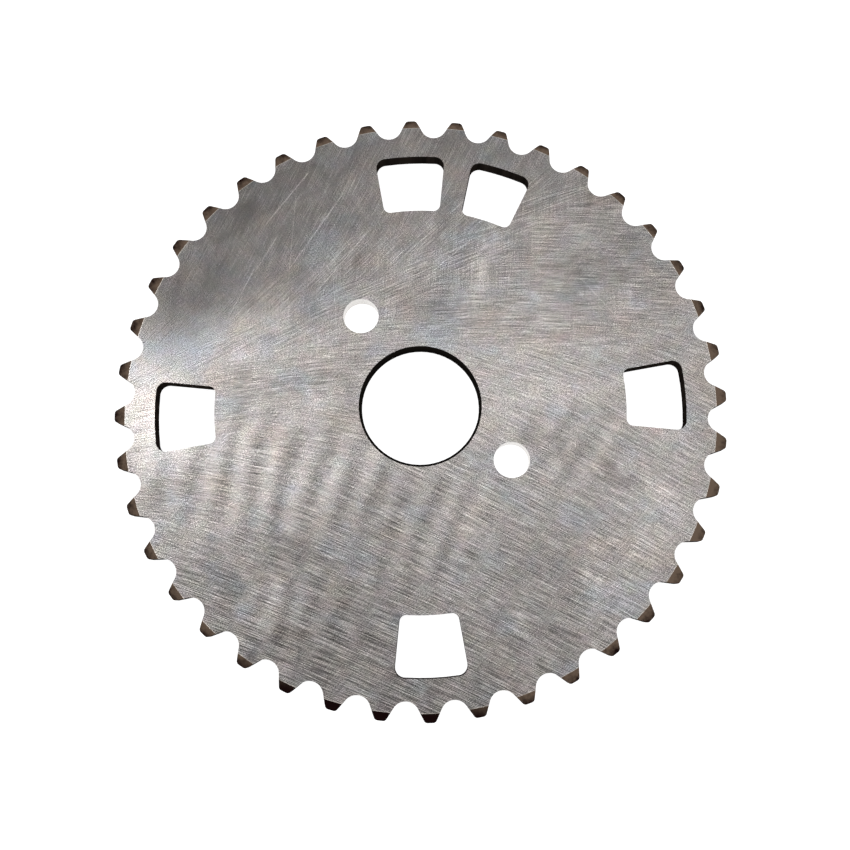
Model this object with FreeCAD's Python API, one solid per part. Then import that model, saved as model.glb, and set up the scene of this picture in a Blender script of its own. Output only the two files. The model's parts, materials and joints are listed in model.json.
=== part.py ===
import FreeCAD
import Part
import math
import os

# Camshaft gear: a chain wheel cut from one steel plate, with a plain bore that
# centres it on the camshaft, two bolt holes, and five windows near the rim.
# Millimetres and degrees. The plate lies on Z = 0 and the bore axis is +Z.
# Turns are measured anticlockwise from +X, seen from above.

# Chain and teeth
TOOTH_COUNT = 40
CHAIN_PITCH = 9.525             # from one chain pin to the next
BUSH_DIAMETER = 5.08            # the chain's bush, which sits in a tooth gap
SEAT_RADIUS = 2.75              # arc at the bottom of a gap, a little wider than the bush
FLANK_ANGLE = 25.5              # of a flank, from the middle line of its tooth
TOOTH_HEIGHT = 4.05             # from the bottom of a gap to the tip
TIP_CORNER_RADIUS = 0.8
TOOTH_TURN = -0.55              # of the first tooth's middle line

# Plate
PLATE_THICKNESS = 3.5

# Bevels on both sides of the teeth. The plate bowed a little before its faces
# were ground flat, so the bevels are longest and shortest on crossed diameters.
BEVEL_LENGTH = 2.0              # mean, along the radius
BEVEL_DEPTH = 0.5               # at the tip
BEVEL_UNEVENNESS = 0.3          # how far the bevel's start strays from the mean, either way
BEVEL_SHORTEST_TURN = 67.5

# Bore
BORE_DIAMETER = 24.0
BORE_CHAMFER = 0.5

# Bolt holes
BOLT_HOLE_DIAMETER = 7.3
FIRST_BOLT_DISTANCE = 22.5      # from the bore axis
FIRST_BOLT_TURN = 120.5
SECOND_BOLT_DISTANCE = 21.5
SECOND_BOLT_TURN = -33.5

# Windows
RIM_WIDTH = 4.25                # from the windows to the bottom of the gaps
WINDOW_HEIGHT = 12.1            # along the radius
WINDOW_ANGLE = 15.8
WINDOW_TURNS = (0.0, 90.0, 180.0, 270.0)
EXTRA_WINDOW_ANGLE = 14.1
EXTRA_WINDOW_TURN = 68.8
WINDOW_OUTER_CORNER = 2.0
WINDOW_INNER_CORNER = 1.4

# Worked out from the sizes above
HALF_TOOTH_ANGLE = 180.0 / TOOTH_COUNT
PITCH_RADIUS = CHAIN_PITCH / (2.0 * math.sin(math.radians(HALF_TOOTH_ANGLE)))
ROOT_RADIUS = PITCH_RADIUS - BUSH_DIAMETER / 2.0
TIP_RADIUS = ROOT_RADIUS + TOOTH_HEIGHT
WINDOW_OUTER_RADIUS = ROOT_RADIUS - RIM_WIDTH
WINDOW_INNER_RADIUS = WINDOW_OUTER_RADIUS - WINDOW_HEIGHT
OVERCUT = 1.0                   # how far a cutting tool runs past the faces

UP = FreeCAD.Vector(0, 0, 1)


def polar(radius, turn, height=0.0):
    """The point at this distance from the bore axis and this turn from +X."""
    angle = math.radians(turn)
    return FreeCAD.Vector(radius * math.cos(angle), radius * math.sin(angle), height)


def half_tooth():
    """Distance and turn of each point of a half tooth, from its gap to its tip.

    The tooth's middle line lies along +X and the gap is on the +Y side. A
    straight flank leaves the seat arc as its tangent, and a small arc rounds
    it into the tip circle.
    """
    flank = math.radians(FLANK_ANGLE)
    outwards = FreeCAD.Vector(math.sin(flank), math.cos(flank), 0)
    along = FreeCAD.Vector(math.cos(flank), -math.sin(flank), 0)

    seat_centre = polar(ROOT_RADIUS + SEAT_RADIUS, HALF_TOOTH_ANGLE)
    seat_end = seat_centre - outwards * SEAT_RADIUS
    flank_distance = outwards.dot(seat_end)

    corner_distance = flank_distance - TIP_CORNER_RADIUS
    corner_reach = TIP_RADIUS - TIP_CORNER_RADIUS
    corner_centre = (outwards * corner_distance
                     + along * math.sqrt(corner_reach ** 2 - corner_distance ** 2))
    to_tip = FreeCAD.Vector(corner_centre).normalize()
    to_corner = (outwards + to_tip).normalize()

    points = (seat_end,
              corner_centre + outwards * TIP_CORNER_RADIUS,
              corner_centre + to_corner * TIP_CORNER_RADIUS,
              corner_centre + to_tip * TIP_CORNER_RADIUS)
    return [(point.Length, math.degrees(math.atan2(point.y, point.x))) for point in points]


def arc(start, middle, end):
    return Part.Arc(start, middle, end).toShape()


def toothed_plate():
    """The plate with its teeth, before the bevels and the holes."""
    seat_end, flank_end, corner_middle, tip_end = half_tooth()
    edges = []
    for tooth in range(TOOTH_COUNT):
        turn = TOOTH_TURN + tooth * 2.0 * HALF_TOOTH_ANGLE

        def before(point):
            return polar(point[0], turn - point[1])

        def after(point):
            return polar(point[0], turn + point[1])

        edges.append(Part.makeLine(before(seat_end), before(flank_end)))
        edges.append(arc(before(flank_end), before(corner_middle), before(tip_end)))
        edges.append(arc(before(tip_end), polar(TIP_RADIUS, turn), after(tip_end)))
        edges.append(arc(after(tip_end), after(corner_middle), after(flank_end)))
        edges.append(Part.makeLine(after(flank_end), after(seat_end)))
        gap_bottom = polar(ROOT_RADIUS, turn + HALF_TOOTH_ANGLE)
        next_seat = polar(seat_end[0], turn + 2.0 * HALF_TOOTH_ANGLE - seat_end[1])
        edges.append(arc(after(seat_end), gap_bottom, next_seat))
    return Part.Face(Part.Wire(edges)).extrude(UP * PLATE_THICKNESS)


def oval(mean_radius, height):
    """A section of the bevelled body: a circle drawn out by the bevels' unevenness."""
    long_end = polar(mean_radius + BEVEL_UNEVENNESS, BEVEL_SHORTEST_TURN, height)
    short_end = polar(mean_radius - BEVEL_UNEVENNESS, BEVEL_SHORTEST_TURN + 90.0, height)
    ellipse = Part.Ellipse(long_end, short_end, FreeCAD.Vector(0, 0, height))
    return Part.Wire(ellipse.toShape())


def bevelled_body():
    """What is left of a round blank once both of its edges are bevelled."""
    face_radius = TIP_RADIUS - BEVEL_LENGTH
    past_tip = 1.4              # the slope runs on past the tips, where nothing is left to cut
    run = BEVEL_LENGTH * past_tip
    drop = BEVEL_DEPTH * past_tip
    sections = [oval(face_radius, 0.0),
                oval(face_radius + run, drop),
                oval(face_radius + run, PLATE_THICKNESS - drop),
                oval(face_radius, PLATE_THICKNESS)]
    return Part.makeLoft(sections, True, True)


def bore():
    """The bore with its two chamfers, as a turned cutting tool."""
    radius = BORE_DIAMETER / 2.0
    mouth = radius + BORE_CHAMFER + OVERCUT
    top = PLATE_THICKNESS
    profile = Part.makePolygon([
        FreeCAD.Vector(0, 0, -OVERCUT),
        FreeCAD.Vector(mouth, 0, -OVERCUT),
        FreeCAD.Vector(radius, 0, BORE_CHAMFER),
        FreeCAD.Vector(radius, 0, top - BORE_CHAMFER),
        FreeCAD.Vector(mouth, 0, top + OVERCUT),
        FreeCAD.Vector(0, 0, top + OVERCUT),
        FreeCAD.Vector(0, 0, -OVERCUT)])
    return Part.Face(profile).revolve(FreeCAD.Vector(0, 0, 0), UP, 360)


def bolt_hole(distance, turn):
    height = PLATE_THICKNESS + 2.0 * OVERCUT
    return Part.makeCylinder(BOLT_HOLE_DIAMETER / 2.0, height, polar(distance, turn, -OVERCUT), UP)


def window(turn, angle):
    """A window between two arcs about the bore axis and two radial sides."""
    first = turn - angle / 2.0
    last = turn + angle / 2.0

    def corner(radius, side):
        return polar(radius, side, -OVERCUT)

    outline = Part.Wire([
        arc(corner(WINDOW_INNER_RADIUS, first), corner(WINDOW_INNER_RADIUS, turn),
            corner(WINDOW_INNER_RADIUS, last)),
        Part.makeLine(corner(WINDOW_INNER_RADIUS, last), corner(WINDOW_OUTER_RADIUS, last)),
        arc(corner(WINDOW_OUTER_RADIUS, last), corner(WINDOW_OUTER_RADIUS, turn),
            corner(WINDOW_OUTER_RADIUS, first)),
        Part.makeLine(corner(WINDOW_OUTER_RADIUS, first), corner(WINDOW_INNER_RADIUS, first))])
    cutter = Part.Face(outline).extrude(UP * (PLATE_THICKNESS + 2.0 * OVERCUT))

    inner_edges = []
    outer_edges = []
    middle_radius = (WINDOW_INNER_RADIUS + WINDOW_OUTER_RADIUS) / 2.0
    for edge in cutter.Edges:
        start, end = (vertex.Point for vertex in edge.Vertexes)
        if abs(end.z - start.z) < OVERCUT:
            continue
        if math.hypot(start.x, start.y) < middle_radius:
            inner_edges.append(edge)
        else:
            outer_edges.append(edge)
    rounded = cutter.makeFillet(WINDOW_OUTER_CORNER, outer_edges)
    inner_edges = [edge for edge in rounded.Edges if same_edge(edge, inner_edges)]
    return rounded.makeFillet(WINDOW_INNER_CORNER, inner_edges)


def same_edge(edge, others):
    """Whether an edge lies where one of the others does."""
    return any(edge.CenterOfMass.isEqual(other.CenterOfMass, 1e-6) for other in others)


def camshaft_gear():
    cutters = [bore(),
               bolt_hole(FIRST_BOLT_DISTANCE, FIRST_BOLT_TURN),
               bolt_hole(SECOND_BOLT_DISTANCE, SECOND_BOLT_TURN),
               window(EXTRA_WINDOW_TURN, EXTRA_WINDOW_ANGLE)]
    for turn in WINDOW_TURNS:
        cutters.append(window(turn, WINDOW_ANGLE))
    gear = toothed_plate().common(bevelled_body())
    return gear.cut(cutters)


os.makedirs("parts", exist_ok=True)
gear = camshaft_gear()
solid = gear.Solids[0]
solid.exportStep("parts/camshaft_gear.step")
print("camshaft_gear: solids", len(gear.Solids), "valid", solid.isValid(),
      "volume cm3 %.2f" % (solid.Volume / 1000.0), "faces", len(solid.Faces))
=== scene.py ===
import json
import math

import bpy
from mathutils import Matrix, Vector


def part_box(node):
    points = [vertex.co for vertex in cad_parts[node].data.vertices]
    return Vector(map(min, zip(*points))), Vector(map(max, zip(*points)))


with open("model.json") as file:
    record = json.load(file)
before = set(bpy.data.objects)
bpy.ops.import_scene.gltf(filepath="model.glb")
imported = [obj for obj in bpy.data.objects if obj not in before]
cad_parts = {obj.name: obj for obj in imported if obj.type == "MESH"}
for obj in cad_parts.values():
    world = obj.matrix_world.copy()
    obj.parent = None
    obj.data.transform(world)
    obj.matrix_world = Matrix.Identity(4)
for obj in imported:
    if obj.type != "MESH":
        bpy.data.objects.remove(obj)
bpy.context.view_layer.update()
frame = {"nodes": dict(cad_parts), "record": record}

# Camshaft gear
# One plate of hardened steel, cut out with its forty teeth and windows. Hardening left a black-brown scale
# on it, and then both faces were ground bright, which the tooth bevels and the walls of the holes escaped.
gear = frame["nodes"]["camshaft_gear"]
gear_low, gear_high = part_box("camshaft_gear")
MILLIMETRES = 1000.0                # the finishes are laid out in millimetres


class Wire:
    """A value on its way through a material. Arithmetic on it adds the material's Math nodes."""

    def __init__(self, socket):
        self.socket = socket

    def node(self, kind, settings, values, output=0):
        """One output of a new node, which gets its settings first and then its values or wires."""
        tree = self.socket.id_data
        made = tree.nodes.new(kind)
        for name, setting in settings.items():
            setattr(made, name, setting)
        for name, value in values.items():
            if isinstance(value, Wire):
                tree.links.new(value.socket, made.inputs[name])
            else:
                made.inputs[name].default_value = value
        return Wire(made.outputs[output])

    def math(self, operation, first, second=0.0):
        return self.node("ShaderNodeMath", {"operation": operation}, {0: first, 1: second})

    def __add__(self, other):
        return self.math("ADD", self, other)

    __radd__ = __add__

    def __sub__(self, other):
        return self.math("SUBTRACT", self, other)

    def __rsub__(self, other):
        return self.math("SUBTRACT", other, self)

    def __mul__(self, other):
        return self.math("MULTIPLY", self, other)

    __rmul__ = __mul__

    def __truediv__(self, other):
        return self.math("DIVIDE", self, other)

    def __rtruediv__(self, other):
        return self.math("DIVIDE", other, self)

    def __abs__(self):
        return self.math("ABSOLUTE", self)


def fade(value, start, end):
    """0 until the value reaches start, 1 from end on, and a soft step between. Either may be the greater."""
    return value.node("ShaderNodeMapRange", {"interpolation_type": "SMOOTHSTEP"},
                      {"Value": value, "From Min": start, "From Max": end})


def split(vector):
    """The X, Y and Z of a vector."""
    return [vector.node("ShaderNodeSeparateXYZ", {}, {0: vector}, axis) for axis in "XYZ"]


def distance(place):
    """How far a place lies from the centre that it is measured from."""
    return place.node("ShaderNodeVectorMath", {"operation": "LENGTH"}, {0: place}, "Value")


def laid(place, centre=(0.0, 0.0), turn=0.0, length=1.0, width=1.0):
    """The place seen from a centre, turned, and measured in lengths and widths of a mark."""
    return place.node("ShaderNodeMapping", {"vector_type": "TEXTURE"},
                      {"Vector": place, "Location": (*centre, 0.0),
                       "Rotation": (0.0, 0.0, math.radians(turn)), "Scale": (length, width, 1.0)})


def unevenness(place, detail=2.0, roughness=0.5, distortion=0.0):
    """A random value that strays to both sides of zero, by about 0.5 at most."""
    cloud = place.node("ShaderNodeTexNoise", {"noise_dimensions": "2D"},
                       {"Vector": place, "Scale": 1.0, "Detail": detail, "Roughness": roughness,
                        "Distortion": distortion})
    return cloud - 0.5


def three_noises(place, detail):
    """Three unlike random values from 0 to 1, as a colour or as a shift in three directions."""
    return place.node("ShaderNodeTexNoise", {"noise_dimensions": "2D"},
                      {"Vector": place, "Scale": 1.0, "Detail": detail, "Roughness": 0.7}, "Color")


def blend(mask, first, second):
    """The first colour where the mask is 0 and the second where it is 1."""
    return mask.node("ShaderNodeMix", {"data_type": "RGBA"}, {0: mask, 6: first, 7: second}, 2)


def patch(place, centre, turn, length, width, strength=1.0):
    """A soft-edged oval, with this strength in its middle and nothing past its ends.

    Each entry in a list of patches has these values, in this order.
    """
    return fade(distance(laid(place, centre, turn, length, width)), 1.0, 0.0) * strength


def scratched(place, turn=0.0):
    """Random values that are drawn out into fine scratches."""
    return unevenness(laid(place, turn=turn, length=8.0, width=0.2), 1.0, 0.8)


def grinding_marks_and_glint(place):
    """The fine scratches, and the height by which they turn, from the lower side to the upper left.

    The plate was fed round under the wheel. At each level the scratches that show have a direction of their
    own, and between two levels both directions cross: the scratches are real, and which of them shows is
    painted glint.
    Two textures take turns: each goes on to its next direction where the other hides it. A fainter set
    crosses them, and more of it over the upper half.
    """
    directions = (-27.0, -17.0, 0.0, 20.0, 42.0, 62.0)
    levels = (-14.0, 2.0, 16.0, 27.0, 35.0, 44.0)
    rise = 0.33                     # of each level, to the right
    stray = 9.0                     # of the levels, with the feed
    stray_size = 17.0
    lifts = (((42.0, 16.0), 0.0, 34.0, 20.0, 15.0),     # two places where the scratches lie nearly flat
             ((34.0, 34.0), 0.0, 24.0, 20.0, -13.0))
    bow = 0.0011                    # of a scratch over its length, per millimetre
    cross_turn = 65.0
    cross_share = 0.3
    upper_cross_share = 0.12
    painted_glint = 1.4                     # how much the bright scratches outshine the dark ones, as painted glint

    across, up, _ = split(place)
    height = up - across * rise + unevenness(laid(place, length=stray_size, width=stray_size)) * stray
    height = height + sum(patch(place, *lift) for lift in lifts)
    bent = place.node("ShaderNodeCombineXYZ", {}, {"X": across, "Y": up + across * across * bow})

    share = fade(height, levels[0], levels[1])
    turns = [directions[0], directions[1]]
    for step in range(1, len(levels) - 1):
        sign = (-1.0) ** step
        share = share + fade(height, levels[step], levels[step + 1]) * sign
        past = height.math("GREATER_THAN", height, levels[step])
        hidden = (step + 1) % 2
        turns[hidden] = turns[hidden] + past * (directions[step + 1] - directions[step - 1])
    first, second = [bent.node("ShaderNodeVectorRotate", {"rotation_type": "Z_AXIS"},
                               {"Vector": bent, "Angle": turn * math.radians(-1.0)}) for turn in turns]
    upper_half = fade(height, 12.0, 30.0)
    crossing = scratched(second, cross_turn) * (upper_half * upper_cross_share + cross_share)
    marks = scratched(first) * (1.0 - share) + scratched(second) * share + crossing
    # The squared term brightens only the bright scratches: a painted glint.
    return marks + marks * marks * painted_glint, height


def single_scratches(place):
    """Deep scratches from handling: where each starts, its direction, length and width."""
    scratches = (((-20.5, 52.5), -129.5, 19.0, 0.16), ((-13.0, 48.0), -126.0, 26.0, 0.14),
                 ((-33.0, 31.0), -118.0, 14.0, 0.14), ((4.0, 28.5), 38.0, 12.0, 0.2),
                 ((45.0, -17.0), -36.0, 11.0, 0.2), ((-28.0, 38.0), -122.0, 11.0, 0.12),
                 ((-9.0, 38.0), -131.0, 21.0, 0.14), ((-24.0, 49.0), -96.0, 24.0, 0.13),
                 ((-17.0, 30.0), -88.0, 16.0, 0.13), ((34.0, 26.0), -52.0, 15.0, 0.15),
                 ((22.0, -14.0), -24.0, 24.0, 0.16), ((-12.0, -28.0), -21.0, 20.0, 0.14))
    marks = []
    for scratch in scratches:
        along, off, _ = split(laid(place, *scratch))
        starts = fade(along, 0.0, 0.15)
        tapers = fade(along, 1.0, 0.7)
        marks.append(fade(abs(off), 1.0, 0.3) * starts * tapers)
    return sum(marks)


def chatter(place):
    """Shallow waves that the grinding wheel's chatter left over the lower half, on the left most.

    They stand nearly upright on the left and lean over to the right of it.
    """
    spacing = 6.9
    lean = 0.5
    more_lean = 0.006               # per millimetre to the right
    sway = 0.7
    patchiness = 0.8
    reaches = (((-36.0, -12.0), -8.0, 38.0, 21.0, 1.2), ((2.0, -25.0), 60.0, 26.0, 17.0, 0.8),
               ((-13.0, -15.0), 15.0, 19.0, 13.0, 0.8), ((-27.0, -39.0), 0.0, 20.0, 13.0, 0.9),
               ((28.0, -10.0), 0.0, 20.0, 16.0, 0.6))
    across, up, _ = split(place)
    wave = (across - up * (across * more_lean + lean)) / spacing
    wave = wave + unevenness(laid(place, length=22.0, width=30.0)) * sway
    wave = wave.math("SINE", wave * (2.0 * math.pi))
    depth = unevenness(laid(place, (9.0, 4.0), 0.0, 5.0, 8.0)) * patchiness
    depth = depth + sum(patch(place, *reach) for reach in reaches)
    return wave * depth.math("MAXIMUM", depth, 0.0)


def temper_film(place):
    """A faint film from the heat of grinding, which tints the steel straw, violet and blue by turns."""
    strength = 0.15
    film = three_noises(laid(place, length=4.5, width=4.0), 3.0)
    return film.node("ShaderNodeVectorMath", {"operation": "MULTIPLY_ADD"},
                     {0: film, 1: (strength,) * 3, 2: (1.0 - strength * 0.5,) * 3})


def wandering(place):
    """The place shifted a little at random, which gives the outlines of stains their irregular form."""
    reach = 12.0
    shift = three_noises(laid(place, length=7.0, width=7.0), 2.0)
    shifted = place.node("ShaderNodeVectorMath", {"operation": "MULTIPLY_ADD"},
                         {0: shift, 1: (reach, reach, 0.0), 2: place})
    return laid(shifted, (reach * 0.5, reach * 0.5))


def steel_colour(place, strayed):
    """Warm grey steel, with a blue or straw cast in places and a few spots that the wheel blued."""
    steel = (0.207, 0.194, 0.187, 1.0)
    blued = (0.185, 0.195, 0.21, 1.0)
    straw = (0.224, 0.195, 0.177, 1.0)
    cast = 0.5                      # the most that the steel has of either
    blue_spots = (((-47.0, 15.0), 30.0, 15.0, 9.0, 0.75), ((-20.0, 34.0), 0.0, 8.0, 7.0, 0.5),
                  ((11.0, 35.0), 30.0, 8.0, 4.0, 0.75), ((-22.0, 21.5), 0.0, 7.0, 7.0, 0.5),
                  ((2.0, 15.0), 0.0, 13.0, 5.0, 0.4))
    tint = unevenness(laid(place, length=11.0, width=9.0), 2.0, 0.6)
    colour = blend(fade(tint, -0.02, -0.25) * cast, steel, blued)
    colour = blend(fade(tint, 0.02, 0.25) * cast, colour, straw)
    for spot in blue_spots:
        colour = blend(patch(strayed, *spot), colour, blued)
    return colour.node("ShaderNodeVectorMath", {"operation": "MULTIPLY"}, {0: colour, 1: temper_film(place)})


def wear_and_painted_shade(place, strayed):
    """How light the face is before its scratches: about 1, with painted dull and bright areas, wipes and
    stains.
    """
    clouds = 0.2
    cloud_size = 24.0
    # The dull and bright areas are painted shade and painted reflection: the dark upper left, the dim top
    # and bottom, and the bright left edge, lower right and middle.
    painted_reflection_and_shade = (((-38.0, 44.0), 40.0, 44.0, 34.0, -0.45), ((0.0, -66.0), 0.0, 62.0, 30.0, -0.3),
             ((0.0, 66.0), 0.0, 48.0, 24.0, -0.22), ((-57.0, 0.0), 0.0, 17.0, 15.0, 0.55),
             ((46.0, -30.0), 60.0, 34.0, 18.0, 0.33), ((21.0, -36.0), -65.0, 26.0, 14.0, -0.12),
             ((-24.0, 24.0), 0.0, 32.0, 14.0, -0.24), ((-46.0, 25.0), -8.0, 25.0, 13.0, -0.4),
             ((-24.0, -42.0), 0.0, 48.0, 27.0, -0.32), ((-6.0, -20.0), 0.0, 18.0, 13.0, -0.18),
             ((48.0, 32.0), 60.0, 26.0, 17.0, -0.2), ((22.0, 4.0), 0.0, 28.0, 14.0, 0.24),
             ((-50.0, 19.0), 0.0, 18.0, 12.0, -0.26), ((38.0, 44.0), -45.0, 18.0, 14.0, -0.15),
             ((-12.0, 40.0), 0.0, 14.0, 10.0, -0.14), ((50.0, -6.0), 0.0, 16.0, 12.0, 0.14),
             ((-38.0, -10.0), 0.0, 16.0, 9.0, 0.12))
    wipes = (((14.0, 30.0), 75.0, 13.0, 4.0, 0.24), ((-36.0, 19.0), 20.0, 17.0, 10.0, 0.26),
             ((-19.0, 34.0), 95.0, 12.0, 5.0, 0.2), ((26.0, 19.0), 70.0, 10.0, 5.0, 0.2),
             ((45.0, 22.0), 50.0, 10.0, 5.0, 0.2), ((-31.0, -38.0), -10.0, 17.0, 9.0, 0.22),
             ((-22.0, 1.0), 60.0, 7.0, 5.0, 0.25), ((33.0, -36.0), -76.0, 13.0, 2.0, 0.25),
             ((18.0, -45.0), -75.0, 10.0, 1.5, 0.2), ((44.0, -16.0), -45.0, 14.0, 2.5, 0.26),
             ((48.0, -25.0), -45.0, 9.0, 2.5, 0.22))
    stains = (((-46.0, 34.0), 0.0, 12.0, 7.0, -0.06), ((2.0, 23.0), 0.0, 10.0, 9.0, -0.18),
              ((33.0, 26.0), 15.0, 12.0, 8.0, -0.2), ((-17.0, 5.0), 0.0, 6.0, 4.0, -0.24),
              ((26.0, -8.0), -35.0, 12.0, 3.0, -0.2), ((38.0, -15.0), -40.0, 12.0, 3.5, -0.2),
              ((-40.0, -34.0), -35.0, 13.0, 6.0, -0.22), ((-26.0, -28.0), 0.0, 10.0, 5.0, -0.2))
    shade = unevenness(laid(place, length=cloud_size, width=cloud_size)) * clouds + 1.0
    for painted_area in painted_reflection_and_shade:
        shade = shade * (1.0 + patch(place, *painted_area))
    return shade + sum(patch(strayed, *spot) for spot in wipes + stains)


def ground_face(place):
    """The colour, roughness and relief of the ground steel."""
    mark_shade = 2.6                # how much each of these lightens or darkens it
    wave_shade = 0.25
    smear_shade = 0.52
    grain_shade = 1.2
    scratch_shade = 0.34
    mean_roughness = 0.25
    mark_roughness = 0.12
    smear_roughness = 0.1
    wave_roughness = 0.02
    scratch_depth = 0.3
    grain_size = 0.22
    least_marked = 0.3              # at the upper left, where the scratches are faintest
    smear_marked = 1.5              # how much stronger or fainter they are in the smears
    smooth_spots = (((-45.0, 20.0), 25.0, 20.0, 14.0, -0.5), ((-34.0, 40.0), 45.0, 26.0, 14.0, -0.4),
                    ((30.0, 34.0), 0.0, 26.0, 20.0, -0.4), ((-55.0, -1.0), 0.0, 20.0, 20.0, -0.45))

    smears = unevenness(laid(place, (5.0, 3.0), 55.0, 8.0, 4.5), 2.0, 0.6, 0.8)
    marks, height = grinding_marks_and_glint(place)
    waves = chatter(place)
    scratches = single_scratches(place)
    grain = unevenness(laid(place, length=grain_size, width=grain_size), 0.0)
    lower_right = fade(height, 40.0, 14.0)
    marks_shown = marks * (lower_right * (1.0 - least_marked) + least_marked) * (smears * smear_marked + 1.0)
    for spot in smooth_spots:
        roughened = patch(place, *spot) + 1.0
        marks_shown = marks_shown * roughened
        grain = grain * roughened

    texture = marks_shown * mark_shade + waves * wave_shade + smears * smear_shade + grain * grain_shade
    strayed = wandering(place)
    shade = wear_and_painted_shade(place, strayed) * (texture + 1.0) + scratches * scratch_shade
    colour = shade.node("ShaderNodeVectorMath", {"operation": "SCALE"},
                        {0: steel_colour(place, strayed), "Scale": shade})
    roughness = mean_roughness + marks * mark_roughness + smears * smear_roughness + waves * wave_roughness
    return colour, roughness, marks_shown - scratches * scratch_depth


def bevel_scale(place, radius, start):
    """Scale on the tooth bevels: brown, paler towards the face, and painted nearly black on the lowest
    teeth.
    """
    black = (0.008, 0.003, 0.003, 1.0)
    brown = (0.135, 0.096, 0.07, 1.0)
    shaded_turn = 258.0               # of the middle of the teeth blackened by painted shade
    lit_turn = 345.0
    least = 0.12                    # of the brown
    near_face = 0.75
    lit_on_right = 0.4
    mottling = 1.5
    # The black of the lowest teeth is painted shade and the paler right side painted reflection, from the
    # way each bevel faces, over real brown scale.
    downwards = split(laid(place, turn=shaded_turn))[0]
    sidewards = split(laid(place, turn=lit_turn))[0]
    mottle = unevenness(laid(place, length=1.3, width=1.3), 3.0, 0.7)
    slope = fade(radius - start, 2.3, 0.0)
    brownness = slope * near_face + fade(sidewards, 50.0, 60.0) * lit_on_right + mottle * mottling + least
    return blend(brownness * fade(downwards, 60.0, 52.0), black, brown)


def wall_scale(place, radius, facing):
    """Scale on the walls: with a brown cast in the windows and tooth gaps, where it is thin.

    In the bore it is black and unbroken but for a painted glint at its upper right.
    """
    black = (0.007, 0.006, 0.005, 1.0)
    thin = (0.038, 0.028, 0.023, 1.0)
    painted_wall_glint = (0.2, 0.19, 0.175, 1.0)
    past_bore = 13.0
    thinness = 0.35
    mottling = 1.2
    mottle = unevenness(laid(place, length=1.4, width=1.4), 3.0, 0.6)
    upright = fade(facing, 0.5, 0.3)
    outside = radius.math("GREATER_THAN", radius, past_bore)
    colour = blend((mottle * mottling + thinness) * upright * outside, black, thin)
    # A painted highlight: a glint on the bore wall.
    spot = patch(place, (7.4, 9.5), -38.0, 3.4, 1.5)
    return blend(spot * upright * fade(mottle, -0.15, 0.15), colour, painted_wall_glint)


def bolt_hole_walls(place):
    """1 on the walls of the two bolt holes and close round them."""
    walls = []
    for mount in frame["record"]["mounts"]:
        if mount["name"].startswith("bolt_hole"):
            centre = [metres * MILLIMETRES for metres in mount["pos_m"][:2]]
            radius = mount["dims"]["r_mm"]
            walls.append(fade(distance(laid(place, centre, 0.0, radius, radius)), 1.2, 1.1))
    return sum(walls)


def gear_finish():
    """The one material of the plate, which tells its surfaces apart by how they face and where they are."""
    drilled = (0.62, 0.6, 0.58, 1.0)
    burr_and_edge_highlight = (0.55, 0.5, 0.45, 1.0)   # the bright line where a bevel starts: a burr with a painted edge highlight
    burr_and_highlight_strength = 0.45
    relief_height = 0.00005         # in metres
    bevel_length = 2.0              # mean, and the bevels are longest and shortest on crossed diameters
    bevel_unevenness = 0.3
    shortest_turn = 67.5
    material = bpy.data.materials.new("ground_and_scaled_steel")
    material.use_nodes = True
    tree = material.node_tree
    steel = Wire(tree.nodes["Principled BSDF"].outputs["BSDF"])

    place = steel.node("ShaderNodeTexCoord", {}, {}, "Object")
    place = place.node("ShaderNodeVectorMath", {"operation": "SCALE"}, {0: place, "Scale": MILLIMETRES})
    plan = place.node("ShaderNodeVectorMath", {"operation": "MULTIPLY"}, {0: place, 1: (1.0, 1.0, 0.0)})
    radius = distance(plan)
    facing = abs(split(steel.node("ShaderNodeNewGeometry", {}, {}, "True Normal"))[2])
    flat = fade(facing, 0.98, 0.995)    # 1 on the ground faces
    wall = fade(facing, 0.9, 0.8)       # 0 on them and the bevels, 1 on all else

    short_way, long_way, _ = split(laid(plan, turn=shortest_turn))
    sway = (short_way * short_way - long_way * long_way) / (radius * radius)
    start = sway * bevel_unevenness + (gear_high.x * MILLIMETRES - bevel_length)
    colour, roughness, relief = ground_face(plan)
    # A real burr and a painted highlight along the edge where the bevels start.
    colour = blend(fade(abs(radius - start), 0.16, 0.04) * burr_and_highlight_strength, colour, burr_and_edge_highlight)
    bump = flat.node("ShaderNodeBump", {},
                     {"Height": relief * flat, "Distance": relief_height, "Strength": 1.0})
    inputs = steel.socket.node.inputs
    inputs["Metallic"].default_value = 1.0
    tree.links.new(blend(flat, drilled, colour).socket, inputs["Base Color"])
    tree.links.new(roughness.socket, inputs["Roughness"])
    tree.links.new(bump.socket, inputs["Normal"])

    scaled = blend(wall, bevel_scale(plan, radius, start), wall_scale(place, radius, facing))
    scale = steel.node("ShaderNodeBsdfPrincipled", {},
                       {"Base Color": scaled, "Roughness": 0.6, "Specular IOR Level": 0.0})
    bright = bolt_hole_walls(plan) * (1.0 - flat) + flat
    either = steel.node("ShaderNodeMixShader", {}, {0: bright, 1: scale, 2: steel})
    tree.links.new(either.socket, tree.nodes["Material Output"].inputs["Surface"])
    return material


gear.data.materials[0] = gear_finish()

# Floor
# A plain pale table top under the gear, which keeps a faint shadow of it and is otherwise white.
FLOOR_SIZE = 8.0
FLOOR_GAP = 0.00005                 # keeps the floor's face from the gear's
WHITE = (1.0, 1.0, 1.0, 1.0)
bpy.ops.mesh.primitive_plane_add(size=FLOOR_SIZE, location=(0.0, 0.0, gear_low.z - FLOOR_GAP))
floor = bpy.context.object
floor.name = "floor"


def background_seen(wire):
    """1 for the camera and for what the gear mirrors or lets through, 0 for the light that falls on it."""
    rays = ("Is Camera Ray", "Is Glossy Ray", "Is Transmission Ray")
    return sum(wire.node("ShaderNodeLightPath", {}, {}, ray) for ray in rays)


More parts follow.
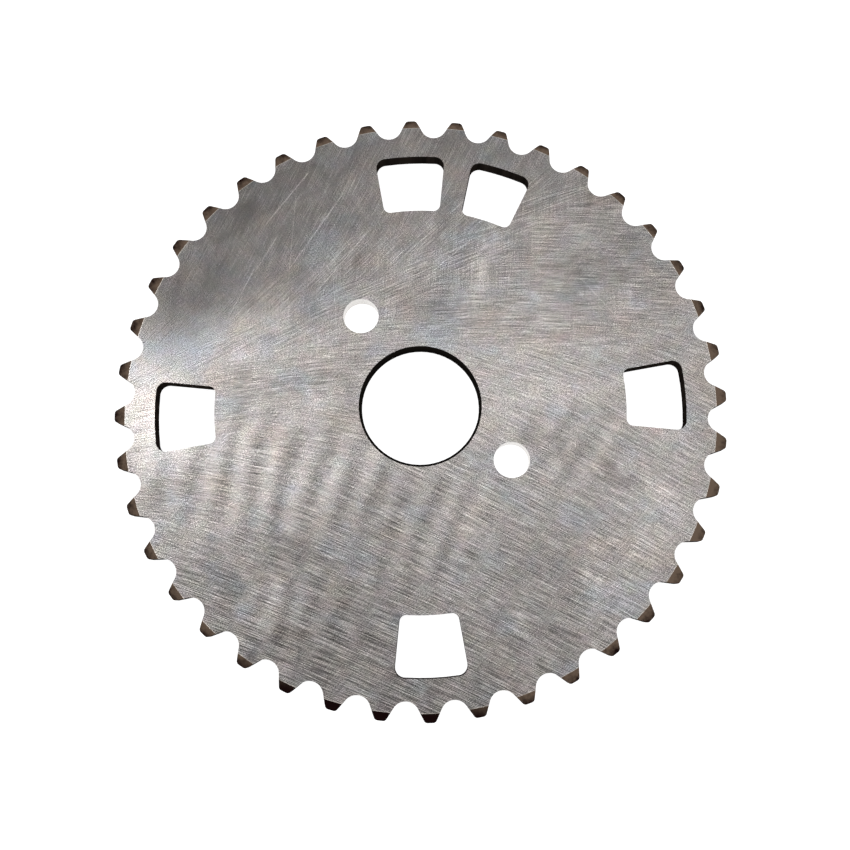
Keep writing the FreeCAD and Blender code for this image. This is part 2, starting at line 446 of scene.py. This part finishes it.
def floor_finish():
    glow = 0.86                     # white together with the light that falls on it
    paper = (0.55, 0.55, 0.55, 1.0)
    material = bpy.data.materials.new("pale_floor")
    material.use_nodes = True
    surface = material.node_tree.nodes["Principled BSDF"]
    surface.inputs["Base Color"].default_value = paper
    surface.inputs["Roughness"].default_value = 0.9
    surface.inputs["Specular IOR Level"].default_value = 0.0
    surface.inputs["Emission Color"].default_value = WHITE
    seen = background_seen(Wire(surface.outputs["BSDF"])) * glow
    material.node_tree.links.new(seen.socket, surface.inputs["Emission Strength"])
    return material


floor.data.materials.append(floor_finish())

# World
# An even white room. What falls on the gear as soft light is a little weaker than the white that is seen.
SOFT_LIGHT = 0.65
world = bpy.data.worlds.new("white_room")
bpy.context.scene.world = world
world.use_nodes = True
room = world.node_tree.nodes["Background"]
room.inputs["Color"].default_value = WHITE
strength = background_seen(Wire(room.outputs["Background"])) * (1.0 - SOFT_LIGHT) + SOFT_LIGHT
world.node_tree.links.new(strength.socket, room.inputs["Strength"])

# Lamps
# Soft boxes over the table. A long one overhead is mirrored as the bright band across the gear, and a
# smaller one to the left of it as the bright left edge. Four low ones are mirrored when it is seen aslant.
CORNER_REACH = 0.75
CORNER_HEIGHT = 0.56
CORNER_SIZE = (0.9, 0.35)
CORNER_POWER = 1.2
lamps = [                           # name, place, size and watts
    ("long_box", (0.0, 0.19, 1.0), (0.85, 0.16), 1.7),
    ("left_box", (-0.33, 0.22, 1.0), (0.16, 0.1), 0.36),
]
for across, along in ((1, 1), (-1, 1), (-1, -1), (1, -1)):
    corner = (across * CORNER_REACH, along * CORNER_REACH, CORNER_HEIGHT)
    lamps.append(("corner_box_%d" % len(lamps), corner, CORNER_SIZE, CORNER_POWER))
for name, place, size, power in lamps:
    light = bpy.data.lights.new(name, "AREA")
    light.shape = "RECTANGLE"
    light.size, light.size_y = size
    light.energy = power
    lamp = bpy.data.objects.new(name, light)
    bpy.context.scene.collection.objects.link(lamp)
    lamp.location = place
    lamp.rotation_euler = Vector(place).to_track_quat("Z", "Y").to_euler()

# Camera
# Held above the gear's lower edge, looking down on its upper face and turned a little against it.
CAMERA_PLACE = Vector((0.0006, -0.0405, gear_high.z + 0.2026))
CAMERA_AIM = Vector((0.0008, -0.0040, gear_high.z))
CAMERA_ROLL = 2.14                  # degrees clockwise
LENS = 43.14                        # millimetres
SENSOR_WIDTH = 36.0
lens = bpy.data.cameras.new("camera")
lens.lens = LENS
lens.sensor_width = SENSOR_WIDTH
lens.clip_start = 0.01
camera = bpy.data.objects.new("camera", lens)
bpy.context.scene.collection.objects.link(camera)
aim = (CAMERA_AIM - CAMERA_PLACE).to_track_quat("-Z", "Y").to_matrix()
roll = Matrix.Rotation(math.radians(-CAMERA_ROLL), 3, "Z")
camera.matrix_world = Matrix.Translation(CAMERA_PLACE) @ (aim @ roll).to_4x4()
bpy.context.scene.camera = camera
bpy.context.scene.view_settings.view_transform = "Standard"
